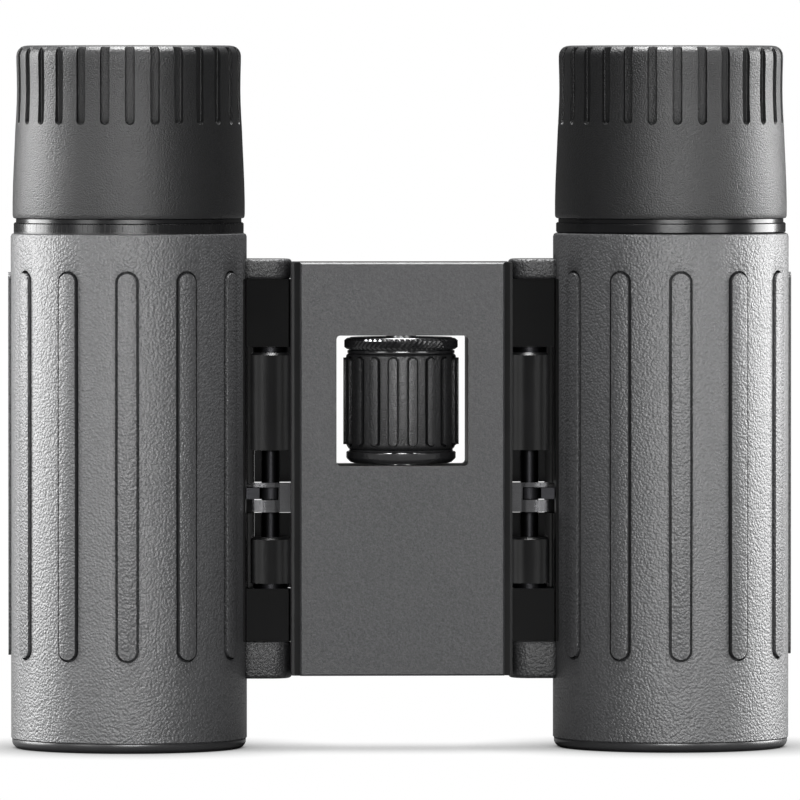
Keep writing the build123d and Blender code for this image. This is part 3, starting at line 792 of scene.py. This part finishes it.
class FinishLenses(bpy.types.Operator):
    """Give the lenses and prisms their glass and coatings"""
    bl_idname = "binoculars.lenses"
    bl_label = "Lenses"

    def execute(self, context):
        front = coated_glass("objective_glass", (0.02, 0.03, 0.05), (0.01, 0.02, 0.05),
                             (0.08, 0.03, 0.12))
        eye = coated_glass("eye_glass", (0.02, 0.04, 0.03), (0.01, 0.03, 0.02), (0.06, 0.1, 0.05))
        clear = coated_glass("clear_glass", (0.6, 0.65, 0.63), (0.4, 0.45, 0.44), (0.6, 0.65, 0.63))
        for side in SIDES:
            paint(front, f"{side}_objective_crown_lens")
            paint(eye, f"{side}_eye_lens")
            paint(clear, f"{side}_objective_flint_lens", f"{side}_field_lens", f"{side}_lower_prism",
                  f"{side}_upper_prism")
        return {"FINISHED"}


class BuildStage(bpy.types.Operator):
    """Set up the floor, the soft lights and the camera"""
    bl_idname = "binoculars.stage"
    bl_label = "Stage"

    def execute(self, context):
        settings = context.scene.binocular_stage
        scene = context.scene
        scene.view_settings.view_transform = "Standard"
        bpy.ops.object.select_all(action="DESELECT")
        bpy.ops.mesh.primitive_plane_add(size=8, location=(0, 0, 0))
        floor = context.active_object
        floor.name = "floor"
        floor.data.materials.append(self.paper(settings.floor_colour))

        scene.world = self.backdrop()
        self.light("top_softbox", (0, 0.1, 1.2), (0, 0, 0), 0.7, 0.6, settings.top_power)
        front = self.light("front_softbox", (0, -1.2, 0.27), (0, 0, 0.05), 0.5, 0.3, settings.fill_power)
        hinge_parts = ("bridge_frame", *(f"{side}_{part}" for side in SIDES
                                         for part in ("focus_fork", "hinge_bracket")))
        front.light_linking.receiver_collection = self.group(
            "front_lit", lambda name: not name.startswith(("floor", *hinge_parts)))
        for side, other, sign in (("left", "right", -1), ("right", "left", 1)):
            own = self.group(f"{side}_lit", lambda name: not name.startswith(("floor", other)))
            flank = self.light(f"{side}_flank_softbox", (sign * 1.0, 0.3, 0.2), (0, 0, 0.05), 0.65, 0.9,
                               settings.flank_power)
            key = self.light(f"{side}_key_softbox", (sign * 0.85, -0.85, 0.3), (0, 0, 0.05), 0.4, 0.6,
                             settings.key_power)
            flank.light_linking.receiver_collection = own
            key.light_linking.receiver_collection = own
            hinge = self.group(f"{side}_hinge_lit", lambda name: name in hinge_parts
                               and not name.startswith(other))
            strip = self.light(f"{side}_hinge_softbox", (sign * 0.96, -0.3, 0.08), (0, 0, 0.05), 0.5, 0.5,
                               settings.hinge_power)
            strip.light_linking.receiver_collection = hinge
            strip.light_linking.blocker_collection = self.group(
                f"{side}_hinge_shade", lambda name: name.startswith(("left_focus", "right_focus")))

        half_angle = math.atan(settings.view_width / 2 / settings.camera_distance)
        data = bpy.data.cameras.new("camera")
        data.sensor_width = 36
        data.lens = data.sensor_width / 2 / math.tan(half_angle)
        data.clip_start = 0.05
        camera = bpy.data.objects.new("camera", data)
        scene.collection.objects.link(camera)
        turn, distance = settings.camera_turn, settings.camera_distance
        camera.location = (-distance * math.sin(turn), -distance * math.cos(turn),
                           settings.camera_height)
        aim = Vector((0, 0, settings.view_height))
        camera.rotation_euler = (aim - camera.location).to_track_quat("-Z", "Y").to_euler()
        scene.camera = camera
        return {"FINISHED"}

    def paper(self, colour):
        """Pale floor, evenly white where it is seen, with a soft shade where the object stands."""
        material, tree, shader = blank_material("floor_paper", colour, 0.8, specular=0.1)
        shade = node(tree, "ShaderNodeAmbientOcclusion", {"samples": 8}, Distance=14 * MM)
        white = node(tree, "ShaderNodeEmission", Color=shade.outputs["Color"])
        self.seen_by_camera(tree, shader.outputs[0], white.outputs[0], "Material Output")
        return material

    def backdrop(self):
        """A white sweep where it is seen, and a dim room in the reflections."""
        world = bpy.data.worlds.new("studio")
        world.use_nodes = True
        tree = world.node_tree
        room = node(tree, "ShaderNodeBackground", Color=(1, 1, 1, 1), Strength=0.05)
        sweep = node(tree, "ShaderNodeBackground", Color=(1, 1, 1, 1), Strength=1.0)
        self.seen_by_camera(tree, room.outputs[0], sweep.outputs[0], "World Output")
        return world

    def seen_by_camera(self, tree, lit, seen, output):
        """Show one shader to the camera and the other to every bounce of light."""
        mix = tree.nodes.new("ShaderNodeMixShader")
        tree.links.new(node(tree, "ShaderNodeLightPath").outputs["Is Camera Ray"], mix.inputs[0])
        tree.links.new(lit, mix.inputs[1])
        tree.links.new(seen, mix.inputs[2])
        tree.links.new(mix.outputs[0], tree.nodes[output].inputs["Surface"])

    def group(self, name, wanted):
        """A collection of the pieces whose names pass a test, for a light to reach or be blocked by."""
        pieces = bpy.data.collections.new(name)
        for piece in bpy.context.scene.objects:
            if piece.type == "MESH" and wanted(piece.name):
                pieces.objects.link(piece)
        return pieces

    def light(self, name, at, towards, width, height, power):
        """An area light at a point, aimed at another."""
        bpy.ops.object.light_add(type="AREA", location=at)
        lamp = bpy.context.active_object
        lamp.name = name
        lamp.data.shape = "RECTANGLE"
        lamp.data.size, lamp.data.size_y = width, height
        lamp.data.energy = power
        lamp.rotation_euler = (Vector(towards) - Vector(at)).to_track_quat("-Z", "Y").to_euler()
        return lamp


class BinocularsPanel(bpy.types.Panel):
    """Lists the sizes, the colours and the pieces"""
    bl_idname = "VIEW3D_PT_binoculars"
    bl_label = "Binoculars"
    bl_space_type = "VIEW_3D"
    bl_region_type = "UI"
    bl_category = "Binoculars"

    def draw(self, context):
        for name in GROUPS:
            group = getattr(context.scene, name)
            for key in group.__annotations__:
                self.layout.prop(group, key)
        for operator in OPERATORS:
            self.layout.operator(operator.bl_idname)


GROUPS = {
    "binocular_armour": ArmourSettings,
    "binocular_eyecup": EyecupSettings,
    "binocular_wheel": WheelSettings,
    "binocular_bridge": BridgeSettings,
    "binocular_stage": StageSettings,
}
OPERATORS = (BuildArmour, BuildHingeCaps, BuildEyecups, BuildRings, BuildWheel, FinishBridge,
             FinishLenses, BuildStage)


def register():
    for name, group in GROUPS.items():
        bpy.utils.register_class(group)
        setattr(bpy.types.Scene, name, bpy.props.PointerProperty(type=group))
    for kind in (*OPERATORS, BinocularsPanel):
        bpy.utils.register_class(kind)


def unregister():
    for kind in reversed((*OPERATORS, BinocularsPanel)):
        bpy.utils.unregister_class(kind)
    for name, group in GROUPS.items():
        delattr(bpy.types.Scene, name)
        bpy.utils.unregister_class(group)


def main():
    """Build every piece in order."""
    register()
    bpy.ops.binoculars.armour()
    bpy.ops.binoculars.hinge_caps()
    bpy.ops.binoculars.eyecups()
    bpy.ops.binoculars.rings()
    bpy.ops.binoculars.wheel()
    bpy.ops.binoculars.bridge()
    bpy.ops.binoculars.lenses()
    bpy.ops.binoculars.stage()


if __name__ == "__main__":
    main()
